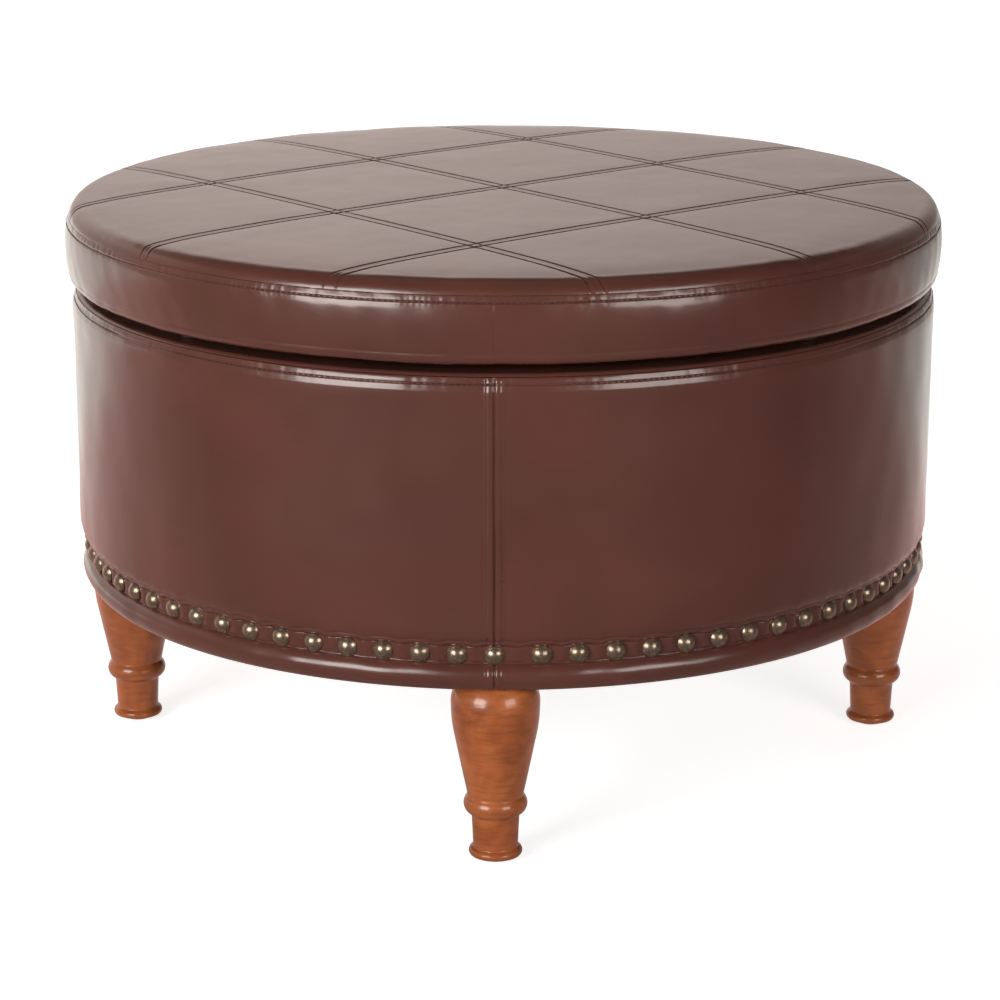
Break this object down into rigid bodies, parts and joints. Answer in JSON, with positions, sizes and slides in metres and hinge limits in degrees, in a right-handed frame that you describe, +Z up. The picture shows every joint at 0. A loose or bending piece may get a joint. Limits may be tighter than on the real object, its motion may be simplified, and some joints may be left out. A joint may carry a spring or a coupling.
{
  "type": "storage ottoman",
  "caption": "Round leather-covered storage ottoman with a hinged quilted lid on lid stays, a nail-trimmed drum and turned wooden legs.",
  "frame": {"origin": "on the floor under the centre of the drum", "axes": "+Z up; the front seam and front leg face -Y, the lid's hinges are at +Y, and +X is to the right seen from the front"},
  "size_m": [0.8062, 0.8062, 0.52],
  "materials": {
    "leather": "dark reddish-brown, mottled, semi-gloss",
    "stained_wood": "orange-brown stain, glossy lacquer",
    "plywood": "raw plywood",
    "hardboard": "raw hardboard",
    "foam": "open-cell cushion foam",
    "lining": "black lining cloth on board",
    "dust_cloth": "black non-woven cloth",
    "nail_bronze": "antique bronze, polished high spots",
    "steel": "zinc-plated",
    "glide_plastic": "dark plastic",
    "bumper_rubber": "black rubber"
  },
  "bodies": {
    "base": {"side_cover_left": "leather", "side_cover_right": "leather", "rim_cover": "leather", "leg_front": "stained_wood", "leg_right": "stained_wood", "leg_back": "stained_wood", "leg_left": "stained_wood", "base_board": "plywood", "bottom_ring": "plywood", "top_ring": "plywood", "frame_posts": "plywood", "stay_block_left": "plywood", "stay_block_right": "plywood", "drum_wall": "hardboard", "side_foam": "foam", "edge_roll": "foam", "rim_pad": "foam", "lining_wall": "lining", "lining_floor": "lining", "dust_cover": "dust_cloth", "nail_heads": "nail_bronze", "leg_bolts": "steel", "leg_tee_nuts": "steel", "hinge_base_leaf_left": "steel", "hinge_base_leaf_right": "steel", "hinge_pin_left": "steel", "hinge_pin_right": "steel", "hinge_base_screws": "steel", "stay_wall_plate_left": "steel", "stay_wall_plate_right": "steel", "stay_wall_screws": "steel", "leg_glides": "glide_plastic"},
    "lid": {"lid_foam": "foam", "lid_top_cover": "leather", "lid_boxing": "leather", "lid_board": "plywood", "lid_lining": "lining", "lid_bumpers": "bumper_rubber", "hinge_lid_leaf_left": "steel", "hinge_lid_leaf_right": "steel", "hinge_lid_screws": "steel", "stay_lid_bracket_left": "steel", "stay_lid_bracket_right": "steel", "stay_lid_screws": "steel", "stay_rivet_left": "steel", "stay_rivet_right": "steel"},
    "stay_left": {"stay_arm_left": "steel"},
    "stay_right": {"stay_arm_right": "steel"}
  },
  "joints": [
    {"name": "lid_hinge", "type": "hinge", "parent": "base", "child": "lid", "pos_m": [0, 0.399, 0.4402], "axis": [-1, 0, 0], "range_deg": [0, 95]},
    {"name": "stay_left_pivot", "type": "hinge", "parent": "lid", "child": "stay_left", "pos_m": [-0.2, 0.25413, 0.434], "axis": [1, 0, 0], "range_deg": [0, 47.5]},
    {"name": "stay_right_pivot", "type": "hinge", "parent": "lid", "child": "stay_right", "pos_m": [0.2, 0.25413, 0.434], "axis": [1, 0, 0], "range_deg": [0, 47.5]}
  ],
  "couplings": [
    {"joint": "stay_left_pivot", "follows": "lid_hinge", "ratio": 0.5},
    {"joint": "stay_right_pivot", "follows": "lid_hinge", "ratio": 0.5}
  ]
}
